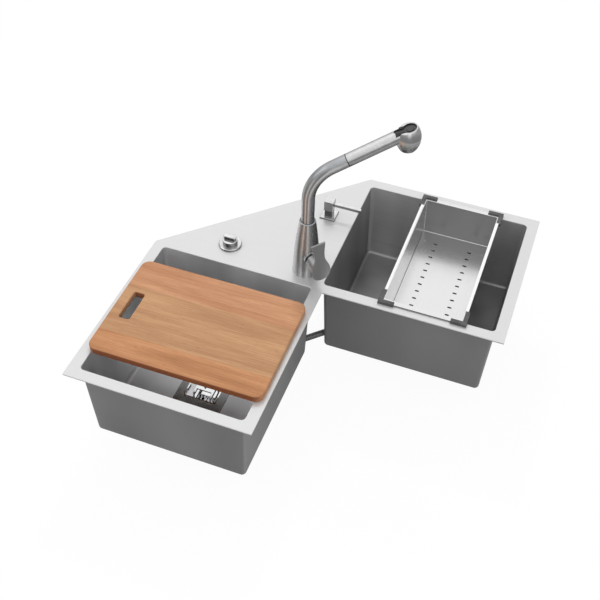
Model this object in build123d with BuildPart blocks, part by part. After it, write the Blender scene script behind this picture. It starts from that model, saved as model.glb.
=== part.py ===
from build123d import *
from math import cos, radians, sin, sqrt
import os

os.makedirs("parts", exist_ok=True)

# Corner kitchen sink: an L-shaped deck with a bowl in each arm, a chamfered back corner that
# carries the tap, the drain knob and the soap dispenser, a colander and a chopping board.
# The origin is on the worktop, in the middle of the seal at the deck's inner corner.
# The left arm runs towards -Y, the right arm towards +X, and the two mirror each other
# about the vertical plane x = -y.

# ---------------------------------------------------------------- driving dimensions, mm

# deck and seal
arm_width = 450
arm_reach = 443
chamfer_setback = 18
deck_thickness = 3
seal_width = 12
seal_thickness = 1
seal_inset = 0.5
outer_margin = 27.5
inner_margin = 28.5
deck_edge_radius = 1.5

# bowls; each reaches a little past the line of the deck's inner corner
bowl_overrun = 7
bowl_depth = 230
bowl_wall = 1.2
bowl_inset = 8
bowl_corner_radius = 10
bowl_floor_radius = 8
mouth_edge = 1
bowl_flange = 6

# bar that ties the two bowls together
tie_radius = 8
tie_wall = 1.5
tie_line_offset = 45
tie_depth = 200

# drain in each bowl
drain_plate_size = 126
drain_plate_radius = 6
drain_plate_thickness = 1.5
drain_mouth_size = 80
drain_mouth_radius = 5
drain_hole_radius = 57.5
cup_radius = 56.5
cup_wall = 1.5
cup_depth = 46
outlet_radius = 23.9
outlet_wall = 3.5
outlet_length = 30
drain_gasket_width = 9
drain_gasket_thickness = 3
drain_nut_width = 11
drain_nut_height = 12
drain_nut_lugs = 6
drain_nut_lug_size = 8

# basket in each drain
basket_wall = 1
basket_depth = 26
basket_lip = 2.5
basket_lip_height = 1.6
basket_slot_width = 3
basket_slot_length = 56
basket_slot_pitch = 9
basket_slot_count = 7
plug_stem_radius = 4
plug_seal_radius = 25
plug_seal_height = 4
handle_bar = 4
handle_span = 44
handle_length = 52
handle_bridge = 18
handle_rise = 20

# tap body, on the mirror plane
tap_offset = 58
tap_ring_radius = 33.5
tap_ring_height = 4
tap_foot_radius = 33
tap_belly_radius = 29.2
tap_collar_radius = 19.5
tap_belly_height = 78
tap_collar_height = 159
tap_collar_bevel = 1.5
tap_ring_edge = 0.5
shank_radius = 16.5
shank_bore_radius = 14
shank_length = 56
shank_overlap = 4
tap_hole_radius = 17.5
inlet_block_height = 18
inlet_radius = 5
inlet_depth = 12
inlet_spacing = 16
hose_channel_radius = 5.5
hose_channel_offset = 9.7
tap_washer_radius = 28
tap_washer_thickness = 3
tap_nut_size = 27
tap_nut_height = 10

# mixing hub and lever
hub_height = 60.5
hub_radius = 19
hub_seam = 38
hub_rim_angle = 20
hub_nose_length = 10
hub_bore_radius = 14.5
cartridge_start = -3
cartridge_length = 17
cartridge_nut_length = 6
cartridge_nut_bore = 8
rotor_radius = 7.5
rotor_length = 7.4
rotor_ear = 3
rotor_ear_reach = 3.5
lever_pin_radius = 1.5
stem_size = 6
stem_tail = 3
stem_reach = 28
paddle_face = 84
paddle_thickness = 4.3
paddle_disc_radius = 23.5
paddle_waist_width = 27
paddle_waist_height = 42
paddle_top_width = 35
paddle_height = 95
paddle_lean = 7
paddle_edge = 0.8
screw_radius = 3
screw_length = 5

# spout, pull-out spray
tube_radius = 15.5
tube_wall = 1.5
tube_insertion = 28
bush_thickness = 1.5
bend_start = 225
bend_radius = 98
spout_azimuth = 26.5
spout_rise = 28
spout_straight = 36.5
seam_gap = 0.8
spray_grip_length = 112
spigot_length = 15
spray_bore_radius = 13.5
hose_radius = 5
hose_tail = 70
bulb_offset = 33
bulb_top_radius = 17
bulb_radius = 28
bulb_foot_radius = 18
bulb_below = 28
bulb_above = 33
crown_height = 27
crown_pitch = 17
keyhole_radius = 15
keyhole_slot_width = 11
keyhole_slot_length = 31
keyhole_depth = 6
insert_height = 3
button_radius = 8.5
button_height = 3
button_travel = 1.5
face_radius = 15.5
face_height = 6
face_recess = 1.5
nozzle_radius = 1
nozzle_ring_radii = (5, 10.5)
nozzle_counts = (6, 12)

# drain knob
accessory_near = 69.5
accessory_setback = 179
knob_flange_radius = 29
knob_flange_height = 6
knob_radius = 19
knob_height = 12
knob_grip_width = 11
knob_grip_length = 34
knob_grip_height = 9
knob_edge = 1.5
spindle_radius = 6
spindle_length = 44
bush_radius = 15.5
bush_length = 34
knob_hole_radius = 16
knob_nut_size = 24
knob_nut_height = 8

# soap dispenser
dispenser_plate_size = 40
dispenser_plate_height = 4
dispenser_neck_size = 20
dispenser_head_size = 24
dispenser_head_base = 23
dispenser_head_height = 29
dispenser_socket_depth = 22
dispenser_travel = 15
dispenser_edge = 1
rod_size = 8
rod_length = 72
rod_drop = 8
rod_bore_radius = 2
pump_stem_radius = 5
pump_stem_length = 62
pump_tube_radius = 9
pump_tube_length = 120
dispenser_shank_radius = 12
dispenser_shank_length = 40
dispenser_hole_radius = 12.5
dispenser_nut_size = 20
dispenser_nut_height = 7
bottle_radius = 32
bottle_length = 150
bottle_wall = 1.5
bottle_neck_radius = 15
bottle_neck_length = 16
bottle_shoulder = 10

# colander that hangs across the right bowl
tray_width = 190
tray_gap = 4
tray_depth = 99
tray_wall = 1
tray_inset = 4
tray_corner_radius = 3
tray_floor_radius = 2
tray_side_lip = 8
tray_end_lip = 13
tray_rise = 3
tray_offset = 37.5
slot_count = 12
slot_pitch = 26.6
slot_length = 11
slot_width = 5
slot_row_offset = 46
foot_radius = 5
foot_drop = 2.5
foot_inset_x = 20
foot_inset_y = 43
rail_width = 7
rail_height = 5
pad_length_x = 39
pad_length_y = 44
pad_width = 11
pad_height = 8
pad_side_overhang = 5
pad_end_overhang = 4
pad_edge = 1

# chopping board laid across the left bowl
board_rest = 14
board_width = 300
board_thickness = 18
board_turn = 0.5
board_shift_x = 1
board_shift_y = -9
board_corner_radius = 22
board_edge = 3
board_back_stave = 90
board_front_stave = 62
grip_slot_width = 27
grip_slot_length = 84
grip_slot_radius = 5
grip_slot_margin = 26

# clearances
running_clearance = 0.05
clearance = 0.3
thread_clearance = 0.1

# ---------------------------------------------------------------- places worked out from them

deck_bottom = seal_thickness
deck_top = deck_bottom + deck_thickness
corner_x = seal_width / 2
corner_y = -seal_width / 2
left_x = corner_x - arm_width
front_y = corner_y - arm_reach
right_x = corner_x + arm_reach
back_y = corner_y + arm_width
deck_outline = [
    (left_x, front_y),
    (corner_x, front_y),
    (corner_x, corner_y),
    (right_x, corner_y),
    (right_x, back_y),
    (corner_x - chamfer_setback, back_y),
    (left_x, corner_y + chamfer_setback),
]

bowl_width = arm_width - outer_margin - inner_margin
bowl_length = arm_reach - outer_margin + bowl_overrun
left_centre = (left_x + outer_margin + bowl_width / 2, front_y + outer_margin + bowl_length / 2)
right_centre = (-left_centre[1], -left_centre[0])
left_mouth = (bowl_width, bowl_length)
right_mouth = (bowl_length, bowl_width)
floor_z = deck_top - bowl_depth
underside_z = floor_z - bowl_wall

tap_x = -tap_offset
tap_y = tap_offset
knob_centre = (left_x + accessory_setback, accessory_near)
dispenser_centre = (-accessory_near, back_y - accessory_setback)


def square(size, radius):
    """Rounded square of the current sketch."""
    RectangleRounded(size, size, radius)


def tapered_block(centre, mouth, wall, top, floor, inset, corner_radius, floor_radius):
    """Tapered rounded block of a pressed tray: its cavity for no wall, its outside for a wall."""
    length = mouth[0] + 2 * wall
    width = mouth[1] + 2 * wall
    height = top - floor + wall
    shrink = inset * height / (top - floor)
    middle = (Align.CENTER, Align.MIN, Align.CENTER)
    with BuildPart() as block:
        with Locations((*centre, top)):
            far = (length - shrink, width - shrink)
            Wedge(length, height, width, shrink, shrink, *far, rotation=(-90, 0, 0), align=middle)
        slanted = block.edges() - block.edges().group_by(Axis.Z)[0] - block.edges().group_by(Axis.Z)[-1]
        fillet(slanted, corner_radius + wall)
        fillet(block.edges().group_by(Axis.Z)[0], floor_radius + wall)
    return block.part


def finish(builder, label):
    """Label a finished piece and write it."""
    builder.part.label = label
    export_step(builder.part, f"parts/{label}.step")


def hex_nut(label, centre, top, size, height, bore):
    """Hexagonal nut hanging below a given height."""
    with BuildPart() as nut:
        with BuildSketch(Plane.XY.offset(top - height)):
            with Locations(centre):
                RegularPolygon(size, 6)
                Circle(bore, mode=Mode.SUBTRACT)
        extrude(amount=height)
    finish(nut, label)


# ---------------------------------------------------------------- deck and seal

with BuildPart() as deck_panel:
    with BuildSketch(Plane.XY.offset(deck_bottom)):
        Polygon(*deck_outline, align=None)
        for centre, mouth in ((left_centre, left_mouth), (right_centre, right_mouth)):
            with Locations(centre):
                RectangleRounded(*mouth, bowl_corner_radius, mode=Mode.SUBTRACT)
        with Locations((tap_x, tap_y)):
            Circle(tap_hole_radius, mode=Mode.SUBTRACT)
        with Locations(knob_centre):
            Circle(knob_hole_radius, mode=Mode.SUBTRACT)
        with Locations(dispenser_centre):
            Circle(dispenser_hole_radius, mode=Mode.SUBTRACT)
    extrude(amount=deck_thickness)
    outer_corners = [
        edge
        for edge in deck_panel.edges().filter_by(Axis.Z)
        if min(abs(edge.center().X - x) + abs(edge.center().Y - y) for x, y in deck_outline) < clearance
    ]
    fillet(outer_corners, deck_edge_radius)
    mouth_wires = deck_panel.faces().sort_by(Axis.Z)[-1].inner_wires().filter_by(
        lambda wire: wire.length > bowl_length + bowl_width
    )
    chamfer([edge for wire in mouth_wires for edge in wire.edges()], mouth_edge)
finish(deck_panel, "deck_panel")

with BuildPart() as rim_seal:
    with BuildSketch():
        Polygon(*deck_outline, align=None)
        offset(amount=-seal_inset)
        with BuildSketch(mode=Mode.PRIVATE) as seal_hole:
            Polygon(*deck_outline, align=None)
            offset(amount=-seal_width - seal_inset)
        add(seal_hole.sketch, mode=Mode.SUBTRACT)
    extrude(amount=seal_thickness)
finish(rim_seal, "rim_seal")

# ---------------------------------------------------------------- bowls and tie bar


def bowl_form(centre, mouth, wall):
    """Tapered block of a bowl, from below the deck down to its floor."""
    return tapered_block(
        centre, mouth, wall, deck_bottom, floor_z, bowl_inset, bowl_corner_radius, bowl_floor_radius
    )


def make_bowl(label, centre, mouth):
    cavity = bowl_form(centre, mouth, 0)
    shell = bowl_form(centre, mouth, bowl_wall)
    with BuildPart() as bowl:
        add(shell)
        with BuildSketch(Plane.XY.offset(deck_bottom - bowl_wall)):
            with Locations(centre):
                grow = 2 * (bowl_wall + bowl_flange)
                corner = bowl_corner_radius + bowl_wall + bowl_flange
                RectangleRounded(mouth[0] + grow, mouth[1] + grow, corner)
        extrude(amount=bowl_wall)
        add(cavity, mode=Mode.SUBTRACT)
        with BuildSketch(Plane.XY.offset(underside_z)):
            with Locations(centre):
                Circle(drain_hole_radius)
        extrude(amount=bowl_wall, mode=Mode.SUBTRACT)
    finish(bowl, label)


make_bowl("left_bowl", left_centre, left_mouth)
make_bowl("right_bowl", right_centre, right_mouth)

# the bar runs square to the mirror plane, and its ends are coped to the bowl walls
tie_shift = tie_line_offset / 2
tie_half = (tie_shift - left_centre[1] - bowl_length / 2 + bowl_inset + tie_radius) * sqrt(2) + tie_radius
tie_plane = Plane(origin=(-tie_shift, tie_shift, deck_top - tie_depth), z_dir=(1, 1, 0))
left_block = bowl_form(left_centre, left_mouth, bowl_wall)
right_block = bowl_form(right_centre, right_mouth, bowl_wall)
with BuildPart() as tie_bar:
    with BuildSketch(tie_plane.offset(-tie_half)):
        Circle(tie_radius)
        Circle(tie_radius - tie_wall, mode=Mode.SUBTRACT)
    extrude(amount=2 * tie_half)
    add(left_block, mode=Mode.SUBTRACT)
    add(right_block, mode=Mode.SUBTRACT)
finish(tie_bar, "tie_bar")

# ---------------------------------------------------------------- drains

plate_top = floor_z + drain_plate_thickness
cup_floor = floor_z - cup_depth
outlet_end = cup_floor - outlet_length
gasket_bottom = underside_z - drain_gasket_thickness
basket_floor = plate_top - basket_depth
basket_size = drain_mouth_size - 2 * clearance


def make_drain(side, centre):
    """Strainer body, outlet, gasket, ring nut, basket, its handle and its plug for one bowl."""
    with BuildPart() as strainer_body:
        with BuildSketch(Plane.XY.offset(floor_z)):
            with Locations(centre):
                square(drain_plate_size, drain_plate_radius)
        extrude(amount=drain_plate_thickness)
        with BuildSketch(Plane.XY.offset(cup_floor)):
            with Locations(centre):
                Circle(cup_radius)
        extrude(amount=cup_depth)
        with BuildSketch(Plane.XY.offset(cup_floor + cup_wall)):
            with Locations(centre):
                Circle(cup_radius - cup_wall)
        extrude(amount=cup_depth - cup_wall, mode=Mode.SUBTRACT)
        with BuildSketch(Plane.XY.offset(floor_z)):
            with Locations(centre):
                square(drain_mouth_size, drain_mouth_radius)
        extrude(amount=drain_plate_thickness, mode=Mode.SUBTRACT)
        with BuildSketch(Plane.XY.offset(cup_floor)):
            with Locations(centre):
                Circle(outlet_radius - outlet_wall)
        extrude(amount=cup_wall, mode=Mode.SUBTRACT)
    finish(strainer_body, f"{side}_strainer_body")

    with BuildPart() as outlet:
        with BuildSketch(Plane.XY.offset(outlet_end)):
            with Locations(centre):
                Circle(outlet_radius)
                Circle(outlet_radius - outlet_wall, mode=Mode.SUBTRACT)
        extrude(amount=outlet_length)
    finish(outlet, f"{side}_outlet")

    with BuildPart() as gasket:
        with BuildSketch(Plane.XY.offset(gasket_bottom)):
            with Locations(centre):
                Circle(drain_hole_radius + drain_gasket_width)
                Circle(cup_radius + thread_clearance, mode=Mode.SUBTRACT)
        extrude(amount=drain_gasket_thickness)
    finish(gasket, f"{side}_drain_gasket")

    nut_radius = cup_radius + drain_nut_width
    with BuildPart() as ring_nut:
        with BuildSketch(Plane.XY.offset(gasket_bottom - drain_nut_height)):
            with Locations(centre):
                Circle(nut_radius)
            with Locations(Location((*centre, 0))):
                with PolarLocations(nut_radius, drain_nut_lugs):
                    Rectangle(drain_nut_lug_size, drain_nut_lug_size)
            with Locations(centre):
                Circle(cup_radius + thread_clearance, mode=Mode.SUBTRACT)
        extrude(amount=drain_nut_height)
    finish(ring_nut, f"{side}_drain_nut")

    with BuildPart() as basket:
        with BuildSketch(Plane.XY.offset(basket_floor)):
            with Locations(centre):
                square(basket_size, drain_mouth_radius)
        extrude(amount=basket_depth)
        with BuildSketch(Plane.XY.offset(plate_top)):
            with Locations(centre):
                square(drain_mouth_size + 2 * basket_lip, drain_mouth_radius + basket_lip)
        extrude(amount=basket_lip_height)
        with BuildSketch(Plane.XY.offset(basket_floor + basket_wall)):
            with Locations(centre):
                square(basket_size - 2 * basket_wall, drain_mouth_radius - basket_wall)
        extrude(amount=basket_depth + basket_lip_height, mode=Mode.SUBTRACT)
        with BuildSketch(Plane.XY.offset(basket_floor)):
            with Locations(Location((*centre, 0))):
                with GridLocations(basket_slot_pitch, 0, basket_slot_count, 1):
                    SlotOverall(basket_slot_length, basket_slot_width, rotation=90)
            with Locations(centre):
                Circle(plug_stem_radius + basket_slot_pitch, mode=Mode.SUBTRACT)
        extrude(amount=basket_wall, mode=Mode.SUBTRACT)
        with BuildSketch(Plane.XY.offset(cup_floor + cup_wall + clearance + plug_seal_height)):
            with Locations(centre):
                Circle(plug_stem_radius)
        extrude(until=Until.NEXT)
    finish(basket, f"{side}_basket")

    with BuildPart() as plug_seal:
        with BuildSketch(Plane.XY.offset(cup_floor + cup_wall + clearance)):
            with Locations(centre):
                Circle(plug_seal_radius)
        extrude(amount=plug_seal_height)
    finish(plug_seal, f"{side}_plug_seal")

    handle_base = basket_floor + basket_wall
    with BuildPart() as handle:
        with BuildSketch(Plane.XY.offset(handle_base + handle_rise)):
            with Locations(Location((*centre, 0))):
                with GridLocations(handle_span, 0, 2, 1):
                    SlotOverall(handle_length, handle_bar, rotation=90)
            with Locations(centre):
                Rectangle(handle_span, handle_bridge)
                Circle(handle_bar, mode=Mode.SUBTRACT)
        extrude(amount=handle_bar)
        with BuildSketch(Plane.XY.offset(handle_base)):
            with Locations(Location((*centre, 0))):
                with GridLocations(handle_span, handle_length - handle_bar, 2, 2):
                    Circle(handle_bar / 2)
        extrude(amount=handle_rise)
    finish(handle, f"{side}_basket_handle")


make_drain("left", left_centre)
make_drain("right", right_centre)

# ---------------------------------------------------------------- tap body

ring_top = deck_top + tap_ring_height
collar_top = deck_top + tap_collar_height
tap_axis = Axis((tap_x, tap_y, 0), (0, 0, 1))
hub_direction = Vector(1, -1, 0).normalized()
hub_z = deck_top + hub_height
hub_plane = Plane(origin=(tap_x, tap_y, hub_z), z_dir=hub_direction)
hub_section = Plane(hub_plane.origin, x_dir=hub_direction, z_dir=(-1, -1, 0))
hub_axis = Axis(hub_plane.origin, hub_direction)
pivot_distance = hub_seam - hub_radius * sin(radians(hub_rim_angle))
tap_section = Plane(origin=(tap_x, tap_y, 0), x_dir=(1, 0, 0), z_dir=(0, -1, 0))
channel_centre = (
    tap_x - hose_channel_offset * hub_direction.X,
    tap_y - hose_channel_offset * hub_direction.Y,
)
block_bottom = ring_top + shank_overlap
block_top = block_bottom + inlet_block_height
bush_radius_outer = tube_radius + running_clearance + bush_thickness
tube_foot = collar_top - tube_insertion

with BuildPart() as tap_ring:
    with BuildSketch(Plane.XY.offset(deck_top)):
        with Locations((tap_x, tap_y)):
            Circle(tap_ring_radius)
            Circle(shank_radius + clearance, mode=Mode.SUBTRACT)
    extrude(amount=tap_ring_height)
    chamfer(tap_ring.edges().group_by(Axis.Z)[-1].sort_by(SortBy.RADIUS)[-1], tap_ring_edge)
finish(tap_ring, "tap_ring")

# the foot is a ring of its own round the shank, flush with the casting above it
with BuildPart() as tap_casting:
    with BuildSketch(tap_section):
        with BuildLine():
            foot = (tap_foot_radius, ring_top)
            belly = (tap_belly_radius, deck_top + tap_belly_height)
            shoulder = (tap_collar_radius, collar_top - tap_collar_bevel)
            ThreePointArc(foot, belly, shoulder)
            bevel = Line(shoulder, (tap_collar_radius - tap_collar_bevel, collar_top))
            Polyline(bevel @ 1, (0, collar_top), (0, ring_top), foot)
        make_face()
    revolve(axis=tap_axis)
    with BuildSketch(hub_plane):
        Circle(hub_radius)
    extrude(amount=pivot_distance)
    with BuildSketch(hub_section):
        with BuildLine():
            nose_radius = sqrt(hub_radius**2 - hub_nose_length**2)
            nose_middle = radians(hub_rim_angle / 2)
            nose = ThreePointArc(
                (pivot_distance, hub_radius),
                (pivot_distance + hub_radius * sin(nose_middle), hub_radius * cos(nose_middle)),
                (pivot_distance + hub_nose_length, nose_radius),
            )
            Polyline(nose @ 1, (pivot_distance + hub_nose_length, 0), (pivot_distance, 0), nose @ 0)
        make_face()
    revolve(axis=hub_axis)
    with BuildSketch(hub_plane.offset(cartridge_start)):
        Circle(hub_bore_radius)
    extrude(amount=hub_seam + hub_radius, mode=Mode.SUBTRACT)

with BuildPart() as tap_foot:
    add(tap_casting.part)
    split(bisect_by=Plane.XY.offset(block_top), keep=Keep.BOTTOM)
    with BuildSketch(Plane.XY.offset(ring_top)):
        with Locations((tap_x, tap_y)):
            Circle(shank_radius + clearance)
    extrude(amount=block_top - ring_top, mode=Mode.SUBTRACT)
finish(tap_foot, "tap_foot")

with BuildPart() as tap_body:
    add(tap_casting.part)
    split(bisect_by=Plane.XY.offset(block_top), keep=Keep.TOP)
    with BuildSketch(Plane.XY.offset(block_top)):
        with Locations(channel_centre):
            Circle(hose_channel_radius)
    extrude(amount=tube_foot - block_top, mode=Mode.SUBTRACT)
    with BuildSketch(Plane.XY.offset(tube_foot)):
        with Locations((tap_x, tap_y)):
            Circle(bush_radius_outer)
    extrude(amount=tube_insertion, mode=Mode.SUBTRACT)
finish(tap_body, "tap_body")

with BuildPart() as inlet_block:
    with BuildSketch(Plane.XY.offset(block_bottom)):
        with Locations((tap_x, tap_y)):
            Circle(shank_radius)
        with Locations(channel_centre):
            Circle(hose_channel_radius, mode=Mode.SUBTRACT)
    extrude(amount=inlet_block_height)
    with BuildSketch(Plane((tap_x, tap_y, block_bottom), x_dir=(1, 1, 0), z_dir=(0, 0, 1))):
        with GridLocations(inlet_spacing, 0, 2, 1):
            Circle(inlet_radius)
    extrude(amount=inlet_depth, mode=Mode.SUBTRACT)
finish(inlet_block, "inlet_block")

with BuildPart() as tap_shank:
    with BuildSketch(Plane.XY.offset(deck_bottom - shank_length)):
        with Locations((tap_x, tap_y)):
            Circle(shank_radius)
            Circle(shank_bore_radius, mode=Mode.SUBTRACT)
    extrude(amount=block_bottom - deck_bottom + shank_length)
finish(tap_shank, "tap_shank")

with BuildPart() as tap_washer:
    with BuildSketch(Plane.XY.offset(deck_bottom - tap_washer_thickness)):
        with Locations((tap_x, tap_y)):
            Circle(tap_washer_radius)
            Circle(shank_radius + thread_clearance, mode=Mode.SUBTRACT)
    extrude(amount=tap_washer_thickness)
finish(tap_washer, "tap_washer")

hex_nut(
    "tap_nut",
    (tap_x, tap_y),
    deck_bottom - tap_washer_thickness,
    tap_nut_size,
    tap_nut_height,
    shank_radius + thread_clearance,
)

# ---------------------------------------------------------------- mixing cartridge and lever

cartridge_top = cartridge_start + cartridge_length
rotor_start = cartridge_top + clearance
ear_offset = stem_size / 2 + clearance + rotor_ear / 2
lean = radians(paddle_lean)
across = Vector(1, 1, 0).normalized()
lever_up = Vector(0, 0, 1) * cos(lean) - across * sin(lean)
lever_across = lever_up.cross(hub_direction)
lever_plane = Plane(hub_plane.origin, x_dir=lever_across, z_dir=hub_direction)
pivot_point = hub_plane.origin + hub_direction * pivot_distance
pivot_plane = Plane(pivot_point, x_dir=hub_direction, z_dir=lever_across)

with BuildPart() as mixer_cartridge:
    with BuildSketch(hub_plane.offset(cartridge_start)):
        Circle(hub_bore_radius)
    extrude(amount=cartridge_length)
finish(mixer_cartridge, "mixer_cartridge")

with BuildPart() as cartridge_nut:
    with BuildSketch(hub_plane.offset(cartridge_top)):
        Circle(hub_bore_radius)
        Circle(cartridge_nut_bore, mode=Mode.SUBTRACT)
    extrude(amount=cartridge_nut_length)
finish(cartridge_nut, "cartridge_nut")

with BuildPart() as cartridge_rotor:
    with BuildSketch(lever_plane.offset(rotor_start)):
        Circle(rotor_radius)
    extrude(amount=rotor_length)
    with BuildSketch(lever_plane.offset(rotor_start + rotor_length)):
        with GridLocations(2 * ear_offset, 0, 2, 1):
            Rectangle(rotor_ear, 2 * rotor_ear_reach)
    extrude(amount=pivot_distance + rotor_ear_reach - rotor_start - rotor_length)
    with BuildSketch(pivot_plane.offset(-ear_offset)):
        Circle(lever_pin_radius)
    extrude(amount=2 * ear_offset)
finish(cartridge_rotor, "cartridge_rotor")

with BuildPart() as lever_stem:
    with BuildSketch(lever_plane.offset(pivot_distance - stem_tail)):
        Rectangle(stem_size, stem_size)
    extrude(amount=stem_tail + stem_reach)
    with BuildSketch(pivot_plane.offset(-stem_size / 2)):
        Circle(lever_pin_radius + running_clearance)
    extrude(amount=stem_size, mode=Mode.SUBTRACT)
finish(lever_stem, "lever_stem")

paddle_back = paddle_face - paddle_thickness
barrel_start = hub_seam + clearance
with BuildPart() as lever_barrel:
    with BuildSketch(hub_section):
        with BuildLine():
            hollow_radius = hub_radius + clearance
            hollow_reach = hollow_radius / sqrt(2)
            mouth_reach = barrel_start - pivot_distance
            mouth = (barrel_start, sqrt(hollow_radius**2 - mouth_reach**2))
            hollow = ThreePointArc(
                mouth,
                (pivot_distance + hollow_reach, hollow_reach),
                (pivot_distance + hollow_radius, 0),
            )
            rim = (barrel_start, hub_radius)
            Polyline(hollow @ 1, (paddle_back, 0), (paddle_back, hub_radius), rim, mouth)
        make_face()
    revolve(axis=hub_axis)
    with BuildSketch(lever_plane.offset(pivot_distance)):
        Rectangle(stem_size, stem_size)
    extrude(amount=stem_reach, mode=Mode.SUBTRACT)
    screw_distance = pivot_distance + stem_reach - screw_length
    with BuildSketch(Plane(hub_plane.origin + hub_direction * screw_distance, z_dir=lever_up * -1)):
        Circle(screw_radius)
    extrude(amount=2 * hub_radius, mode=Mode.SUBTRACT)
finish(lever_barrel, "lever_barrel")

with BuildPart() as lever_screw:
    screw_origin = hub_plane.origin + hub_direction * screw_distance - lever_up * (stem_size / 2)
    with BuildSketch(Plane(screw_origin, z_dir=lever_up * -1)):
        Circle(screw_radius)
    extrude(amount=screw_length + stem_size)
finish(lever_screw, "lever_screw")

with BuildPart() as lever_paddle:
    with BuildSketch(lever_plane.offset(paddle_back)):
        Circle(paddle_disc_radius)
        with BuildLine():
            half_top = paddle_top_width / 2
            half_waist = paddle_waist_width / 2
            hip = (paddle_disc_radius * cos(lean), paddle_disc_radius * sin(lean))
            edge_right = Spline(
                (half_top, paddle_height),
                (half_waist, paddle_waist_height),
                hip,
                tangents=((-sin(lean), -cos(lean)), (0, -1)),
            )
            edge_left = Spline(
                (-half_top, paddle_height),
                (-half_waist, paddle_waist_height),
                (-hip[0], hip[1]),
                tangents=((sin(lean), -cos(lean)), (0, -1)),
            )
            Line(edge_right @ 0, edge_left @ 0)
            Line(edge_right @ 1, edge_left @ 1)
        make_face()
    extrude(amount=paddle_thickness)
    fillet(lever_paddle.faces().sort_by(hub_axis)[-1].edges(), paddle_edge)
finish(lever_paddle, "lever_paddle")

# ---------------------------------------------------------------- spout

azimuth = radians(spout_azimuth)
rise = radians(spout_rise)
heading = Vector(cos(azimuth), sin(azimuth), 0)
spout_plane = Plane(origin=(tap_x, tap_y, 0), x_dir=heading, z_dir=heading.cross(Vector(0, 0, 1)))
spray_direction = heading * cos(rise) + Vector(0, 0, 1) * sin(rise)
spray_normal = Vector(0, 0, 1) * cos(rise) - heading * sin(rise)
bend_turn = 90 - spout_rise
bend_z = deck_top + bend_start
bend_end = (
    bend_radius * (1 - cos(radians(bend_turn))),
    bend_z + bend_radius * sin(radians(bend_turn)),
)
seam_local = (bend_end[0] + spout_straight * cos(rise), bend_end[1] + spout_straight * sin(rise))
seam_point = Vector(tap_x, tap_y, 0) + heading * seam_local[0] + Vector(0, 0, 1) * seam_local[1]
spray_plane = Plane(seam_point, x_dir=spray_direction.cross(spray_normal), z_dir=spray_direction)

with BuildPart() as spout_tube:
    with BuildLine(spout_plane) as spout_line:
        Line((0, tube_foot + clearance), (0, bend_z))
        JernArc((0, bend_z), (0, 1), bend_radius, -bend_turn)
        Line(bend_end, seam_local)
    with BuildSketch(Plane((tap_x, tap_y, tube_foot + clearance))):
        Circle(tube_radius)
        Circle(tube_radius - tube_wall, mode=Mode.SUBTRACT)
    sweep(path=spout_line.wire())
finish(spout_tube, "spout_tube")

with BuildPart() as swivel_bush:
    with BuildSketch(Plane.XY.offset(tube_foot)):
        with Locations((tap_x, tap_y)):
            Circle(bush_radius_outer)
            Circle(tube_radius + running_clearance, mode=Mode.SUBTRACT)
    extrude(amount=tube_insertion)
finish(swivel_bush, "swivel_bush")

# ---------------------------------------------------------------- pull-out spray

bulb_point = seam_point + spray_direction * spray_grip_length + heading * bulb_offset
bulb_section = Plane(bulb_point, x_dir=heading, z_dir=heading.cross(Vector(0, 0, 1)))
bulb_axis = Axis(bulb_point, (0, 0, 1))
pitch = radians(crown_pitch)
crown_centre = bulb_point + Vector(0, 0, 1) * crown_height
crown_direction = heading * cos(pitch) + Vector(0, 0, 1) * sin(pitch)
crown_normal = Vector(0, 0, 1) * cos(pitch) - heading * sin(pitch)
crown_plane = Plane(crown_centre, x_dir=crown_direction, z_dir=crown_normal)
face_z = bulb_point.Z - bulb_below

with BuildPart() as spray_shell:
    with BuildSketch(spray_plane.offset(seam_gap)):
        Circle(tube_radius)
    extrude(amount=spray_grip_length + bulb_offset / cos(rise) - seam_gap)
    with BuildSketch(bulb_section):
        with BuildLine():
            bulb_foot = (bulb_foot_radius, -bulb_below)
            side = ThreePointArc(bulb_foot, (bulb_radius, 0), (bulb_top_radius, bulb_above))
            Polyline(side @ 1, (0, bulb_above), (0, -bulb_below), side @ 0)
        make_face()
    revolve(axis=bulb_axis)
    with BuildSketch(crown_plane):
        Rectangle(4 * bulb_radius, 4 * bulb_radius)
    extrude(amount=2 * bulb_above, mode=Mode.SUBTRACT)
    with BuildSketch(crown_plane.offset(-keyhole_depth)):
        Circle(keyhole_radius)
        with Locations((-keyhole_slot_length / 2, 0)):
            SlotCenterToCenter(keyhole_slot_length, keyhole_slot_width)
    extrude(amount=2 * keyhole_depth, mode=Mode.SUBTRACT)
    with BuildSketch(spray_plane):
        Circle(spray_bore_radius)
    extrude(amount=spray_grip_length - bulb_radius, mode=Mode.SUBTRACT)
    with BuildSketch(Plane.XY.offset(face_z)):
        with Locations((bulb_point.X, bulb_point.Y)):
            Circle(face_radius)
    extrude(amount=face_height + face_recess, mode=Mode.SUBTRACT)
finish(spray_shell, "spray_shell")

with BuildPart() as spray_spigot:
    with BuildSketch(spray_plane.offset(-spigot_length)):
        Circle(spray_bore_radius)
        Circle(hose_radius, mode=Mode.SUBTRACT)
    extrude(amount=2 * spigot_length)
finish(spray_spigot, "spray_spigot")

with BuildPart() as spray_hose:
    with BuildSketch(spray_plane.offset(-hose_tail)):
        Circle(hose_radius)
    extrude(amount=hose_tail + spigot_length)
finish(spray_hose, "spray_hose")

with BuildPart() as spray_insert:
    with BuildSketch(crown_plane.offset(-keyhole_depth)):
        Circle(keyhole_radius)
        with Locations((-keyhole_slot_length / 2, 0)):
            SlotCenterToCenter(keyhole_slot_length, keyhole_slot_width)
        Circle(button_radius + clearance, mode=Mode.SUBTRACT)
    extrude(amount=insert_height)
finish(spray_insert, "spray_insert")

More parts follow.
